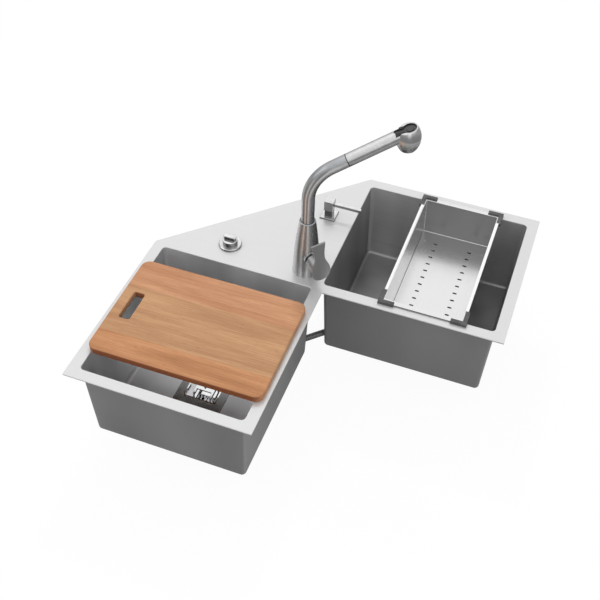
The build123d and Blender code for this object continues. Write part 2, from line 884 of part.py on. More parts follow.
with BuildPart() as spray_button:
    with BuildSketch(crown_plane.offset(button_travel + clearance - keyhole_depth)):
        Circle(button_radius)
    extrude(amount=button_height)
    fillet(spray_button.faces().sort_by(Axis(crown_centre, crown_normal))[-1].edges(), paddle_edge)
finish(spray_button, "spray_button")

with BuildPart() as spray_face:
    with BuildSketch(Plane.XY.offset(face_z + face_recess)):
        with Locations((bulb_point.X, bulb_point.Y)):
            Circle(face_radius)
    extrude(amount=face_height)
    with BuildSketch(Plane.XY.offset(face_z + face_recess)):
        for ring_radius, count in zip(nozzle_ring_radii, nozzle_counts):
            with Locations(Location((bulb_point.X, bulb_point.Y, 0))):
                with PolarLocations(ring_radius, count):
                    Circle(nozzle_radius)
    extrude(amount=face_recess, mode=Mode.SUBTRACT)
finish(spray_face, "spray_face")

# ---------------------------------------------------------------- drain knob

knob_base = deck_top + knob_flange_height + clearance
with BuildPart() as knob_flange:
    with BuildSketch(Plane.XY.offset(deck_top)):
        with Locations(knob_centre):
            Circle(knob_flange_radius)
            Circle(spindle_radius + clearance, mode=Mode.SUBTRACT)
    extrude(amount=knob_flange_height)
    chamfer(knob_flange.edges().group_by(Axis.Z)[-1].sort_by(SortBy.RADIUS)[-1], knob_edge)
finish(knob_flange, "knob_flange")

with BuildPart() as knob_bush:
    with BuildSketch(Plane.XY.offset(deck_top - bush_length)):
        with Locations(knob_centre):
            Circle(bush_radius)
            Circle(spindle_radius + running_clearance, mode=Mode.SUBTRACT)
    extrude(amount=bush_length)
finish(knob_bush, "knob_bush")

hex_nut("knob_nut", knob_centre, deck_bottom, knob_nut_size, knob_nut_height, bush_radius + thread_clearance)

with BuildPart() as drain_knob:
    with BuildSketch(Plane.XY.offset(knob_base)):
        with Locations(knob_centre):
            Circle(knob_radius)
    extrude(amount=knob_height)
    fillet(drain_knob.edges().group_by(Axis.Z)[-1], knob_edge)
    with BuildSketch(Plane.XY.offset(knob_base + knob_height)):
        with Locations(knob_centre):
            SlotOverall(knob_grip_length, knob_grip_width)
    extrude(amount=knob_grip_height)
    chamfer(drain_knob.edges().group_by(Axis.Z)[-1], knob_edge)
finish(drain_knob, "drain_knob")

with BuildPart() as knob_spindle:
    with BuildSketch(Plane.XY.offset(knob_base - spindle_length)):
        with Locations(knob_centre):
            Circle(spindle_radius)
    extrude(amount=spindle_length)
finish(knob_spindle, "knob_spindle")

# ---------------------------------------------------------------- soap dispenser

plate_level = deck_top + dispenser_plate_height
head_base = deck_top + dispenser_head_base
head_top = head_base + dispenser_head_height
socket_top = head_base + dispenser_socket_depth
neck_socket = dispenser_neck_size + 2 * clearance
neck_top = socket_top - dispenser_travel - clearance
shank_end = deck_bottom - dispenser_shank_length

with BuildPart() as dispenser_base:
    with BuildSketch(Plane.XY.offset(deck_top)):
        with Locations(dispenser_centre):
            Rectangle(dispenser_plate_size, dispenser_plate_size)
    extrude(amount=dispenser_plate_height)
    chamfer(dispenser_base.edges().group_by(Axis.Z)[-1], dispenser_edge)
    with BuildSketch(Plane.XY.offset(plate_level)):
        with Locations(dispenser_centre):
            Rectangle(dispenser_neck_size, dispenser_neck_size)
    extrude(amount=neck_top - plate_level)
    with BuildSketch(Plane.XY.offset(shank_end)):
        with Locations(dispenser_centre):
            Circle(dispenser_shank_radius)
    extrude(amount=deck_top - shank_end)
    with BuildSketch(Plane.XY.offset(shank_end)):
        with Locations(dispenser_centre):
            Circle(pump_tube_radius)
    extrude(amount=neck_top - shank_end, mode=Mode.SUBTRACT)
finish(dispenser_base, "dispenser_base")

hex_nut(
    "dispenser_nut",
    dispenser_centre,
    deck_bottom,
    dispenser_nut_size,
    dispenser_nut_height,
    dispenser_shank_radius + thread_clearance,
)

with BuildPart() as pump_tube:
    with BuildSketch(Plane.XY.offset(neck_top - pump_tube_length)):
        with Locations(dispenser_centre):
            Circle(pump_tube_radius)
            Circle(pump_stem_radius + running_clearance, mode=Mode.SUBTRACT)
    extrude(amount=pump_tube_length)
finish(pump_tube, "pump_tube")

with BuildPart() as pump_stem:
    with BuildSketch(Plane.XY.offset(socket_top - pump_stem_length)):
        with Locations(dispenser_centre):
            Circle(pump_stem_radius)
    extrude(amount=pump_stem_length)
finish(pump_stem, "pump_stem")

with BuildPart() as dispenser_head:
    with BuildSketch(Plane.XY.offset(head_base)):
        with Locations(dispenser_centre):
            Rectangle(dispenser_head_size, dispenser_head_size)
    extrude(amount=dispenser_head_height)
    fillet(dispenser_head.edges(), dispenser_edge)
    with BuildSketch(Plane.XY.offset(head_base)):
        with Locations(dispenser_centre):
            Rectangle(neck_socket, neck_socket)
    extrude(amount=dispenser_socket_depth, mode=Mode.SUBTRACT)
finish(dispenser_head, "dispenser_head")

rod_plane = Plane(
    (dispenser_centre[0] + dispenser_head_size / 2, dispenser_centre[1], head_top - rod_drop - rod_size / 2),
    x_dir=(0, 1, 0),
    z_dir=(1, 0, 0),
)
with BuildPart() as dispenser_spout:
    with BuildSketch(rod_plane):
        Rectangle(rod_size, rod_size)
    extrude(amount=rod_length)
    with BuildSketch(Plane.XY.offset(rod_plane.origin.Z - rod_size / 2)):
        with Locations((rod_plane.origin.X + rod_length - rod_size / 2, dispenser_centre[1])):
            Circle(rod_bore_radius)
    extrude(amount=rod_size / 2, mode=Mode.SUBTRACT)
finish(dispenser_spout, "dispenser_spout")

with BuildPart() as soap_bottle:
    bottle_section = Plane((*dispenser_centre, shank_end), x_dir=(1, 0, 0), z_dir=(0, -1, 0))
    with BuildSketch(bottle_section):
        with BuildLine():
            Polyline(
                (0, bottle_neck_length),
                (bottle_neck_radius, bottle_neck_length),
                (bottle_neck_radius, 0),
                (bottle_radius, -bottle_shoulder),
                (bottle_radius, -bottle_length),
                (0, -bottle_length),
                (0, bottle_neck_length),
            )
        make_face()
        with BuildLine():
            Polyline(
                (0, bottle_neck_length),
                (dispenser_shank_radius + thread_clearance, bottle_neck_length),
                (dispenser_shank_radius + thread_clearance, 0),
                (bottle_radius - bottle_wall, -bottle_shoulder),
                (bottle_radius - bottle_wall, bottle_wall - bottle_length),
                (0, bottle_wall - bottle_length),
                (0, bottle_neck_length),
            )
        make_face(mode=Mode.SUBTRACT)
    revolve(axis=Axis((*dispenser_centre, 0), (0, 0, 1)))
finish(soap_bottle, "soap_bottle")

# ---------------------------------------------------------------- colander

tray_centre = (right_centre[0] + tray_offset, right_centre[1])
tray_length = bowl_width - 2 * tray_gap
lip_z = deck_top + tray_rise
tray_floor_z = deck_top - tray_depth


def tray_form(wall):
    """Tapered block of the colander's tray."""
    return tapered_block(
        tray_centre,
        (tray_width, tray_length),
        wall,
        lip_z + tray_wall,
        tray_floor_z,
        tray_inset,
        tray_corner_radius,
        tray_floor_radius,
    )


tray_cavity = tray_form(0)
tray_outside = tray_form(tray_wall)
lip_width = tray_width + 2 * tray_side_lip
lip_length = tray_length + 2 * tray_end_lip
with BuildPart() as colander_tray:
    add(tray_outside)
    with BuildSketch(Plane.XY.offset(lip_z)):
        with Locations(tray_centre):
            RectangleRounded(lip_width, lip_length, tray_corner_radius)
    extrude(amount=tray_wall)
    add(tray_cavity, mode=Mode.SUBTRACT)
    with BuildSketch(Plane.XY.offset(tray_floor_z - tray_wall)):
        with Locations(Location((*tray_centre, 0))):
            with GridLocations(2 * slot_row_offset, slot_pitch, 2, slot_count):
                SlotOverall(slot_length, slot_width)
    extrude(amount=tray_wall, mode=Mode.SUBTRACT)
    with BuildSketch(Plane.XY.offset(tray_floor_z - tray_wall - foot_drop)):
        with Locations(Location((*tray_centre, 0))):
            with GridLocations(tray_width - 2 * foot_inset_x, tray_length - 2 * foot_inset_y, 2, 2):
                Circle(foot_radius)
    extrude(amount=foot_drop)
    with BuildSketch(Plane.XY.offset(tray_floor_z - foot_drop)):
        with Locations(Location((*tray_centre, 0))):
            with GridLocations(tray_width - 2 * foot_inset_x, tray_length - 2 * foot_inset_y, 2, 2):
                Circle(foot_radius - tray_wall)
    extrude(amount=foot_drop, mode=Mode.SUBTRACT)
finish(colander_tray, "colander_tray")

with BuildPart() as colander_rails:
    rail_top = lip_z + tray_wall
    with BuildSketch(Plane.XY.offset(rail_top)):
        with Locations(Location((*tray_centre, 0))):
            with GridLocations(lip_width - rail_width, 0, 2, 1):
                Rectangle(rail_width, lip_length - 2 * (pad_length_y - pad_end_overhang))
    extrude(amount=rail_height)
finish(colander_rails, "colander_rails")

with BuildPart() as colander_pads:
    pad_x = lip_width / 2 + pad_side_overhang
    pad_y = lip_length / 2 + pad_end_overhang
    for turn_x in (-1, 1):
        for turn_y in (-1, 1):
            corner = (tray_centre[0] + turn_x * pad_x, tray_centre[1] + turn_y * pad_y)
            with BuildSketch(Plane.XY.offset(deck_top)):
                with Locations((corner[0] - turn_x * pad_length_x / 2, corner[1] - turn_y * pad_width / 2)):
                    Rectangle(pad_length_x, pad_width)
                with Locations((corner[0] - turn_x * pad_width / 2, corner[1] - turn_y * pad_length_y / 2)):
                    Rectangle(pad_width, pad_length_y)
            extrude(amount=pad_height)
    fillet(colander_pads.edges().group_by(Axis.Z)[-1], pad_edge)
    add(colander_tray.part, mode=Mode.SUBTRACT)
    add(colander_rails.part, mode=Mode.SUBTRACT)
finish(colander_pads, "colander_pads")

# ---------------------------------------------------------------- chopping board

board_length = bowl_width + 2 * board_rest
board_place = Location((left_centre[0] + board_shift_x, left_centre[1] + board_shift_y, 0))
board_plane = Plane.XY.offset(deck_top).rotated((0, 0, board_turn)).move(board_place)
with BuildPart() as board_blank:
    with BuildSketch(board_plane):
        RectangleRounded(board_length, board_width, board_corner_radius)
        with Locations((grip_slot_margin + grip_slot_width / 2 - board_length / 2, 0)):
            RectangleRounded(grip_slot_width, grip_slot_length, grip_slot_radius, mode=Mode.SUBTRACT)
    extrude(amount=board_thickness)
    fillet(board_blank.edges().group_by(Axis.Z)[0] + board_blank.edges().group_by(Axis.Z)[-1], board_edge)

back_joint = board_width / 2 - board_back_stave
front_joint = board_front_stave - board_width / 2
staves = (
    ("board_front_stave", -board_width / 2, front_joint),
    ("board_middle_stave", front_joint, back_joint),
    ("board_back_stave", back_joint, board_width / 2),
)
for label, low, high in staves:
    with BuildPart() as stave:
        add(board_blank.part)
        with BuildSketch(board_plane):
            with Locations((0, (low + high) / 2)):
                Rectangle(board_length, high - low)
        extrude(amount=board_thickness, mode=Mode.INTERSECT)
    finish(stave, label)
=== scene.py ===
import math

import bpy
from mathutils import Matrix, Vector


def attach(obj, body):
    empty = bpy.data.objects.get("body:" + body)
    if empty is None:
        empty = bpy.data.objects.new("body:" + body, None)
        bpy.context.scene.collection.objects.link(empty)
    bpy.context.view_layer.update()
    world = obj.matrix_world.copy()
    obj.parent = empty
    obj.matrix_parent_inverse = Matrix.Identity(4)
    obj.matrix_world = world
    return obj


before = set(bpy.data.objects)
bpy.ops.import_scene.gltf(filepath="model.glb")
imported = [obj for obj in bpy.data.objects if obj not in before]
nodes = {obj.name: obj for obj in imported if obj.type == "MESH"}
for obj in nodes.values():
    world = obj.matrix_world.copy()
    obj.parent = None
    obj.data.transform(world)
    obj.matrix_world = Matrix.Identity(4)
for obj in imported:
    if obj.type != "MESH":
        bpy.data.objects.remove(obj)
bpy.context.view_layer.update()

# the camera that the corners of the deck in the photograph give
camera = {
    "place": (0.47233, -1.50303, 1.63344),
    "azimuth": 19.2024,
    "down": 46.598,
    "roll": 1.6229,
    "focalPixels": 942.797,
    "imagePixels": 600,
    "sensor": 36.0,
    "farthest": 100.0,
}


def setCamera(values):
    az, down, roll = (math.radians(values[key]) for key in ("azimuth", "down", "roll"))
    ahead = Vector((-math.sin(az) * math.cos(down), math.cos(az) * math.cos(down), -math.sin(down)))
    right = ahead.cross(Vector((0, 0, 1))).normalized()
    up = right.cross(ahead)
    turnedRight = right * math.cos(roll) + up * math.sin(roll)
    turnedUp = up * math.cos(roll) - right * math.sin(roll)
    data = bpy.data.cameras.new("photoCamera")
    data.sensor_width = values["sensor"]
    data.lens = values["focalPixels"] / values["imagePixels"] * values["sensor"]
    data.clip_end = values["farthest"]
    view = bpy.data.objects.new("photoCamera", data)
    axes = Matrix((turnedRight, turnedUp, -ahead)).transposed()
    view.matrix_world = Matrix.Translation(values["place"]) @ axes.to_4x4()
    bpy.context.scene.collection.objects.link(view)
    bpy.context.scene.camera = view


setCamera(camera)
print("camera ready")


# a socket is linked to another socket, or given a plain value
def feed(tree, socket, value):
    if isinstance(value, bpy.types.NodeSocket):
        tree.links.new(value, socket)
    else:
        socket.default_value = value


def addNode(tree, kind, inputs=None, **settings):
    node = tree.nodes.new(kind)
    for key, value in settings.items():
        setattr(node, key, value)
    for key, value in (inputs or {}).items():
        feed(tree, node.inputs[key], value)
    return node


def grey(value):
    return (value, value, value, 1.0)


def calc(tree, operation, first, second=0.0):
    return addNode(tree, "ShaderNodeMath", {0: first, 1: second}, operation=operation).outputs[0]


def vectorCalc(tree, operation, first, second, output="Vector"):
    return addNode(tree, "ShaderNodeVectorMath", {0: first, 1: second}, operation=operation).outputs[output]


def spread(tree, value, low, high, fromLow=0.0, fromHigh=1.0):
    inputs = {"Value": value, "From Min": fromLow, "From Max": fromHigh, "To Min": low, "To Max": high}
    return addNode(tree, "ShaderNodeMapRange", inputs).outputs["Result"]


# the Mix node keeps numbers on its sockets 2 and 3, and colours on 6 and 7
def blendNumber(tree, factor, first, second):
    return addNode(tree, "ShaderNodeMix", {0: factor, 2: first, 3: second}, data_type="FLOAT").outputs[0]


def blendColour(tree, factor, first, second, mode="MIX"):
    inputs = {0: factor, 6: first, 7: second}
    return addNode(tree, "ShaderNodeMix", inputs, data_type="RGBA", blend_type=mode).outputs[2]


def newMaterial(name):
    material = bpy.data.materials.new(name)
    material.use_nodes = True
    tree = material.node_tree
    return material, tree, tree.nodes["Principled BSDF"]


def placed(tree, scale, turn=(0.0, 0.0, 0.0), shift=(0.0, 0.0, 0.0)):
    where = addNode(tree, "ShaderNodeTexCoord").outputs["Object"]
    inputs = {"Vector": where, "Scale": scale, "Rotation": turn, "Location": shift}
    return addNode(tree, "ShaderNodeMapping", inputs).outputs["Vector"]


def noise(tree, vector, scale, detail=2.0, roughness=0.5, distortion=0.0):
    inputs = {"Vector": vector, "Scale": scale, "Detail": detail, "Roughness": roughness}
    inputs["Distortion"] = distortion
    return addNode(tree, "ShaderNodeTexNoise", inputs).outputs["Fac"]


def greyRamp(tree, factor, stops):
    ramp = addNode(tree, "ShaderNodeValToRGB", {"Fac": factor})
    elements = ramp.color_ramp.elements
    while len(elements) < len(stops):
        elements.new(0.5)
    for element, (place, value) in zip(elements, stops):
        element.position = place
        element.color = grey(value)
    return ramp.outputs["Color"]


# how far a face looks along an axis, from 0 to 1
def facing(tree, normal, axis, low=0.5, high=1.0):
    return spread(tree, vectorCalc(tree, "DOT_PRODUCT", normal, axis, "Value"), 0.0, 1.0, low, high)


# distance along a direction from a point
def along(tree, point, direction):
    where = addNode(tree, "ShaderNodeTexCoord").outputs["Object"]
    away = vectorCalc(tree, "SUBTRACT", where, point)
    return vectorCalc(tree, "DOT_PRODUCT", away, direction, "Value")


# 1 where a value lies between two limits
def between(tree, value, low, high):
    above = calc(tree, "GREATER_THAN", value, low)
    below = calc(tree, "LESS_THAN", value, high)
    return calc(tree, "MULTIPLY", above, below)


def addBump(tree, surface, height, strength, distance):
    inputs = {"Height": height, "Strength": strength, "Distance": distance}
    bump = addNode(tree, "ShaderNodeBump", inputs).outputs["Normal"]
    tree.links.new(bump, surface.inputs["Normal"])


# floor and sky: a strength of 1 is white, and metal sees a darker horizon and floor
studio = {
    "floorZ": -0.306,
    "floorSize": 30.0,
    "floorColour": 0.80,
    "floorRough": 0.9,
    "floorGlow": 0.95,
    "floorMirrored": 0.30,
    "skyLight": 0.86,
    "skyStops": ((0.0, 0.60), (0.5, 0.85), (1.0, 1.0)),
    "mirrorStops": ((0.0, 0.10), (0.22, 0.30), (0.46, 0.85), (0.62, 1.0), (0.8, 0.93), (1.0, 0.92)),
}


def addSky(values):
    scene = bpy.context.scene
    scene.view_settings.view_transform = "Standard"
    world = bpy.data.worlds.new("studioSky")
    scene.world = world
    world.use_nodes = True
    tree = world.node_tree
    tree.nodes.clear()
    light = addNode(tree, "ShaderNodeLightPath").outputs
    where = addNode(tree, "ShaderNodeTexCoord").outputs["Generated"]
    height = addNode(tree, "ShaderNodeSeparateXYZ", {"Vector": where}).outputs["Z"]
    sky = greyRamp(tree, height, values["skyStops"])
    mirrorSky = greyRamp(tree, height, values["mirrorStops"])
    soft = addNode(tree, "ShaderNodeBackground", {"Color": sky, "Strength": values["skyLight"]})
    mirrored = addNode(tree, "ShaderNodeBackground", {"Color": mirrorSky, "Strength": 1.0})
    white = addNode(tree, "ShaderNodeBackground", {"Color": grey(1.0), "Strength": 1.0})
    shiny = calc(tree, "MAXIMUM", light["Is Glossy Ray"], light["Is Transmission Ray"])
    seen = addNode(tree, "ShaderNodeMixShader", {0: shiny, 1: soft.outputs[0], 2: mirrored.outputs[0]})
    mixed = {0: light["Is Camera Ray"], 1: seen.outputs[0], 2: white.outputs[0]}
    whole = addNode(tree, "ShaderNodeMixShader", mixed)
    addNode(tree, "ShaderNodeOutputWorld", {"Surface": whole.outputs[0]})


def addFloor(values):
    half = values["floorSize"] / 2
    corners = [(x * half, y * half, values["floorZ"]) for x, y in ((-1, -1), (1, -1), (1, 1), (-1, 1))]
    mesh = bpy.data.meshes.new("studioFloor")
    mesh.from_pydata(corners, [], [(0, 1, 2, 3)])
    floor = bpy.data.objects.new("studioFloor", mesh)
    bpy.context.scene.collection.objects.link(floor)
    material, tree, surface = newMaterial("studioFloor")
    light = addNode(tree, "ShaderNodeLightPath").outputs
    plain, mirrored = grey(values["floorColour"]), grey(values["floorMirrored"])
    colour = blendColour(tree, light["Is Glossy Ray"], plain, mirrored)
    tree.links.new(colour, surface.inputs["Base Color"])
    surface.inputs["Roughness"].default_value = values["floorRough"]
    glow = addNode(tree, "ShaderNodeEmission", {"Color": grey(1.0), "Strength": values["floorGlow"]})
    faint = addNode(tree, "ShaderNodeBsdfDiffuse", {"Color": grey(1.0 - values["floorGlow"])})
    both = addNode(tree, "ShaderNodeAddShader", {0: glow.outputs[0], 1: faint.outputs[0]})
    mixed = {0: light["Is Camera Ray"], 1: surface.outputs[0], 2: both.outputs[0]}
    choice = addNode(tree, "ShaderNodeMixShader", mixed)
    tree.links.new(choice.outputs[0], tree.nodes["Material Output"].inputs["Surface"])
    mesh.materials.append(material)


addSky(studio)
addFloor(studio)

# the lamp behind would show as a spot in the steel, so metal doesn't mirror it
lamps = {
    "overhead": {"power": 6.0, "size": 2.6, "place": (-0.5, 0.3, 2.6), "target": (0.0, 0.0, 0.0)},
    "back": {"power": 26.0, "size": 0.4, "place": (-0.55, 1.5, 2.3), "target": (0.0, 0.1, 0.0)},
    "left": {"power": 9.0, "size": 1.6, "place": (-2.4, -1.2, 1.6), "target": (0.0, 0.0, -0.1)},
    "front": {"power": 6.0, "size": 1.8, "place": (1.2, -2.8, 1.2), "target": (0.0, 0.0, -0.1)},
}
unmirroredLamps = ("back",)


def addLamp(name, values):
    data = bpy.data.lights.new(name + "Lamp", "AREA")
    data.energy = values["power"]
    data.size = values["size"]
    data.shape = "SQUARE"
    lamp = bpy.data.objects.new(name + "Lamp", data)
    lamp.visible_glossy = name not in unmirroredLamps
    aim = Vector(values["target"]) - Vector(values["place"])
    turn = aim.to_track_quat("-Z", "Y").to_matrix().to_4x4()
    lamp.matrix_world = Matrix.Translation(values["place"]) @ turn
    bpy.context.scene.collection.objects.link(lamp)


for lampName, lampValues in lamps.items():
    addLamp(lampName, lampValues)
print("studio ready")


# the lowest and the highest corner of a CAD node
def boxOf(name):
    corners = [Vector(corner) for corner in nodes[name].bound_box]
    return corners[0], corners[6]


def middleOf(name):
    low, high = boxOf(name)
    return (low + high) / 2


def dress(material, *names):
    for name in names:
        data = nodes[name].data
        data.materials.clear()
        data.materials.append(material)


# what every steel starts from; its smears are soft patches, duller and rougher, and a
# band holds the noise values between which a look goes from none to full
steelBase = {
    "grainBand": (0.25, 0.75),
    "smear": 9.0,
    "smearScale": (1.0, 1.0, 1.0),
    "smearBand": (0.35, 0.7),
    "smearDepth": 0.25,
    "smearSheen": (-0.03, 0.05),
    "bumpHeight": 0.0002,
    "metal": 1.0,
    "paintedFacingShades": (),
}


# painted reflections: long light and dark stripes painted on upright walls, set by the way each wall faces
def paintReflectionStreaks(tree, values, normal, grain, smear, shade):
    side = facing(tree, normal, values["streakAxis"], -1.0, 1.0)
    wander = spread(tree, smear, *values["streakWander"], *values["streakBand"])
    side = calc(tree, "ADD", side, wander)
    level = calc(tree, "SUBTRACT", facing(tree, normal, (0, 0, 1), -1.0, 1.0), 0.5)
    upright = spread(tree, calc(tree, "ABSOLUTE", level), 1.0, 0.0, *values["streakFade"])
    paintedReflections = greyRamp(tree, side, values["paintedReflections"])
    grained = spread(tree, grain, 0.0, values["streakGrain"], *values["streakBand"])
    return blendColour(tree, upright, shade, blendColour(tree, grained, paintedReflections, values["dark"]))


# steel with a fine grain along one axis, soft smears and a little unevenness, and where asked painted
# reflection stripes, painted light and shade by the way faces tilt and turn, and dark marks and painted
# shade from a mask
def brushedSteel(name, values, marksAndShade=None):
    material, tree, surface = newMaterial(name)
    normal = addNode(tree, "ShaderNodeTexCoord").outputs["Normal"]
    grain = noise(tree, placed(tree, values["grainScale"]), 1.0, roughness=0.6)
    smear = noise(tree, placed(tree, values["smearScale"]), values["smear"], detail=4.0, roughness=0.55)
    grained = spread(tree, grain, 0.0, 1.0, *values["grainBand"])
    smeared = spread(tree, smear, 0.0, values["smearDepth"], *values["smearBand"])
    shade = blendColour(tree, grained, values["dark"], values["light"])
    shade = blendColour(tree, smeared, shade, values["dark"])
    # painted reflection stripes on the upright faces
    if "paintedReflections" in values:
        shade = paintReflectionStreaks(tree, values, normal, grain, smear, shade)
    # painted light and shade: each face is toned by how far it tilts up
    if "rise" in values:
        level = facing(tree, normal, (0, 0, 1), -1.0, 1.0)
        shade = blendColour(tree, 1.0, shade, greyRamp(tree, level, values["rise"]), "MULTIPLY")
    # painted shade: faces turned along each listed axis are darkened by its factor
    for axis, facingShade in values["paintedFacingShades"]:
        shade = blendColour(tree, facing(tree, normal, axis), shade, grey(facingShade), "MULTIPLY")
    # dark marks, and painted shade where the mask asks for it
    if marksAndShade:
        shade = blendColour(tree, marksAndShade(tree), shade, grey(values["markAndShadeTone"]))
    sheen = spread(tree, smear, *values["smearSheen"])
    rough = calc(tree, "ADD", spread(tree, grain, *values["rough"]), sheen)
    tree.links.new(shade, surface.inputs["Base Color"])
    tree.links.new(rough, surface.inputs["Roughness"])
    surface.inputs["Metallic"].default_value = values["metal"]
    addBump(tree, surface, grain, values["bump"], values["bumpHeight"])
    return material


deckSteel = dict(
    steelBase,
    light=grey(0.74),
    dark=grey(0.69),
    grainScale=(8.0, 1600.0, 1600.0),
    rough=(0.36, 0.44),
    bump=0.05,
    smear=5.0,
    smearDepth=0.1,
    metal=0.45,
)
dress(brushedSteel("deckSteel", deckSteel), "deck_panel")

# bowls: inside, the walls get painted shade, painted reflection stripes and a painted corner highlight by
# the way they face; the outside has a dull grey coat, painted lighter where it faces +x
bowlLook = {
    "middleZ": -0.07,
    "grainScale": (9.0, 9.0, 900.0),
    "grainBand": (0.25, 0.75),
    "innerRough": (0.36, 0.48),
    "innerMetal": 0.75,
    "smear": 6.0,
    "smearStretch": (1.0, 1.0, 0.25),
    "smearBand": (0.35, 0.65),
    "smearTone": grey(0.66),
    "smearSheen": (-0.03, 0.06),
    "reflectionWallAxis": (0, -1, 0),
    "reflectionBandScale": 6.0,
    "bandStretch": (1.0, 1.0, 0.08),
    "paintedReflectionBands": ((0.36, 0.8), (0.46, 1.0), (0.56, 1.35), (0.66, 1.7)),
    "cornerAxis": (0.707, -0.707, 0.0),
    "cornerBand": (0.86, 0.97),
    "paintedCornerHighlight": 0.8,
    "coatLight": grey(0.30),
    "coatDark": grey(0.24),
    "coatPaintedLight": grey(0.40),
    "coatBand": (0.3, 0.7),
    "coatSpeck": 700.0,
    "speckBand": (0.45, 0.8),
    "speckDepth": 0.35,
    "coatRough": (0.45, 0.55),
    "coatMetal": 0.35,
    "bump": 0.15,
    "bumpHeight": 0.0002,
}


def innerSteel(tree, values, normal, grain, smear):
    grained = spread(tree, grain, 0.0, 1.0, *values["grainBand"])
    smeared = spread(tree, smear, 0.0, 1.0, *values["smearBand"])
    inner = blendColour(tree, grained, values["innerDark"], values["innerLight"])
    inner = blendColour(tree, smeared, inner, values["smearTone"], "MULTIPLY")
    # painted reflections: light and dark upright stripes on the walls that face the front
    paintedReflectionBands = noise(tree, placed(tree, values["bandStretch"]), values["reflectionBandScale"], detail=1.0, roughness=0.4)
    banded = greyRamp(tree, paintedReflectionBands, values["paintedReflectionBands"])
    inner = blendColour(tree, facing(tree, normal, values["reflectionWallAxis"]), inner, banded, "MULTIPLY")
    # painted shade: faces turned along each listed axis are darkened by its factor
    for axis, facingShade in values["paintedFacingShades"]:
        inner = blendColour(tree, facing(tree, normal, axis), inner, grey(facingShade), "MULTIPLY")
    # painted highlight along the inner corner between the left and back walls
    corner = facing(tree, normal, values["cornerAxis"], *values["cornerBand"])
    return blendColour(tree, calc(tree, "MULTIPLY", corner, values["paintedCornerHighlight"]), inner, grey(1.0))


def outerCoat(tree, values, normal, smear, speck):
    smeared = spread(tree, smear, 0.0, 1.0, *values["coatBand"])
    coat = blendColour(tree, smeared, values["coatDark"], values["coatLight"])
    specked = spread(tree, speck, 0.0, values["speckDepth"], *values["speckBand"])
    coat = blendColour(tree, specked, coat, values["coatLight"])
    # painted light on the coat's faces turned to +x
    return blendColour(tree, facing(tree, normal, (1, 0, 0)), coat, values["coatPaintedLight"])


def bowlSteel(name, bowl, values):
    material, tree, surface = newMaterial(name)
    normal = addNode(tree, "ShaderNodeTexCoord").outputs["Normal"]
    centre = middleOf(bowl)
    outward = along(tree, (centre.x, centre.y, values["middleZ"]), normal)
    outside = calc(tree, "GREATER_THAN", outward, 0.0)
    grain = noise(tree, placed(tree, values["grainScale"]), 1.0, roughness=0.6)
    smear = noise(tree, placed(tree, values["smearStretch"]), values["smear"])
    speck = noise(tree, placed(tree, (1.0, 1.0, 1.0)), values["coatSpeck"], roughness=0.7)
    inner = innerSteel(tree, values, normal, grain, smear)
    coat = outerCoat(tree, values, normal, smear, speck)
    sheen = spread(tree, smear, *values["smearSheen"])
    innerRough = calc(tree, "ADD", spread(tree, grain, *values["innerRough"]), sheen)
    rough = blendNumber(tree, outside, innerRough, spread(tree, speck, *values["coatRough"]))
    tree.links.new(blendColour(tree, outside, inner, coat), surface.inputs["Base Color"])
    tree.links.new(rough, surface.inputs["Roughness"])
    metal = spread(tree, outside, values["innerMetal"], values["coatMetal"])
    tree.links.new(metal, surface.inputs["Metallic"])
    height = blendNumber(tree, outside, grain, speck)
    addBump(tree, surface, height, values["bump"], values["bumpHeight"])
    return material


leftBowlLook = dict(
    bowlLook,
    innerLight=(0.96, 0.98, 1.0, 1.0),
    innerDark=(0.88, 0.90, 0.92, 1.0),
    paintedFacingShades=(),
)
# the right bowl's floor and side walls are darkened as painted shade
rightBowlLook = dict(
    bowlLook,
    innerLight=grey(0.98),
    innerDark=grey(0.86),
    paintedFacingShades=(((0, 0, 1), 0.35), ((1, 0, 0), 0.55), ((-1, 0, 0), 0.6)),
)
dress(bowlSteel("leftBowlSteel", "left_bowl", leftBowlLook), "left_bowl")
dress(bowlSteel("rightBowlSteel", "right_bowl", rightBowlLook), "right_bowl")
print("deck and bowls dressed")

traySteel = dict(
    steelBase,
    light=grey(0.90),
    dark=(0.82, 0.82, 0.825, 1.0),
    grainScale=(2200.0, 5.0, 2200.0),
    rough=(0.20, 0.27),
    bump=0.04,
    smear=8.0,
    smearDepth=0.15,
    # painted shade: faces turned to the front, as the back wall inside, are much darker, and faces turned to
    # the sides somewhat darker
    paintedFacingShades=(((0, -1, 0), 0.25), ((1, 0, 0), 0.85), ((-1, 0, 0), 0.6)),
)
railSteel = dict(
    steelBase,
    light=grey(0.96),
    dark=grey(0.90),
    grainScale=(2200.0, 5.0, 2200.0),
    rough=(0.25, 0.35),
    bump=0.04,
    metal=0.4,
)
dress(brushedSteel("traySteel", traySteel), "colander_tray")
dress(brushedSteel("railSteel", railSteel), "colander_rails")

